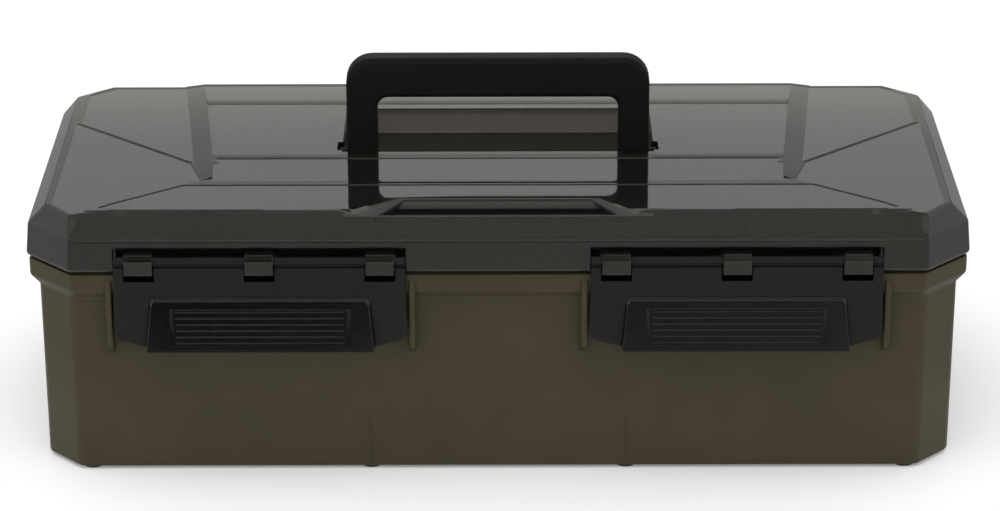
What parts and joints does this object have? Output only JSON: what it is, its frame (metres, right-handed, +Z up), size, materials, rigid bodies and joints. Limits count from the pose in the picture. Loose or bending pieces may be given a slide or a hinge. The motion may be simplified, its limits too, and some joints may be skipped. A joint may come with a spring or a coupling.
{
  "type": "fishing tackle box",
  "caption": "Low chamfered tackle box with a smoked clear hinged lid, a folding carry handle and front snap latches.",
  "frame": {"origin": "under the middle of the box at the level of the feet", "axes": "+X to the right along the box, +Y from the latches to the rear hinges, +Z up"},
  "size_m": [0.4, 0.19, 0.1602],
  "materials": {
    "tub_plastic": "satin olive-brown moulded plastic",
    "smoked_lid": "glossy smoked clear plastic",
    "seal_rubber": "soft matte",
    "handle_plastic": "satin black",
    "pin_plastic": "satin black",
    "latch_plastic": "matte dark grey",
    "pad_plastic": "glossy black",
    "pin_steel": "drawn wire",
    "foot_rubber": "matte",
    "divider_plastic": "satin moulded plastic"
  },
  "bodies": {
    "body": {"body_tub": "tub_plastic", "lid_seal": "seal_rubber", "hinge_pin_left": "pin_steel", "hinge_pin_right": "pin_steel", "foot_front_outer_left": "foot_rubber", "foot_front_inner_left": "foot_rubber", "foot_front_inner_right": "foot_rubber", "foot_front_outer_right": "foot_rubber", "foot_rear_outer_left": "foot_rubber", "foot_rear_inner_left": "foot_rubber", "foot_rear_inner_right": "foot_rubber", "foot_rear_outer_right": "foot_rubber", "divider_1": "divider_plastic", "divider_2": "divider_plastic", "divider_3": "divider_plastic", "divider_4": "divider_plastic"},
    "lid": {"lid_shell": "smoked_lid", "handle_pin_left": "pin_plastic", "handle_pin_right": "pin_plastic"},
    "handle": {"handle": "handle_plastic"},
    "latch_left": {"latch_plate_left": "latch_plastic", "latch_pad_left": "pad_plastic"},
    "latch_right": {"latch_plate_right": "latch_plastic", "latch_pad_right": "pad_plastic"}
  },
  "joints": [
    {"name": "lid_hinge", "type": "hinge", "parent": "body", "child": "lid", "pos_m": [0, 0.091, 0.09305], "axis": [-1, 0, 0], "range_deg": [0, 105]},
    {"name": "handle_fold", "type": "hinge", "parent": "lid", "child": "handle", "pos_m": [0, 0, 0.1121], "axis": [-1, 0, 0], "range_deg": [0, 90]},
    {"name": "latch_left_swing", "type": "hinge", "parent": "lid", "child": "latch_left", "pos_m": [-0.1002, -0.0872, 0.0999], "axis": [-1, 0, 0], "range_deg": [0, 110]},
    {"name": "latch_right_swing", "type": "hinge", "parent": "lid", "child": "latch_right", "pos_m": [0.1002, -0.0872, 0.0999], "axis": [-1, 0, 0], "range_deg": [0, 110]}
  ]
}
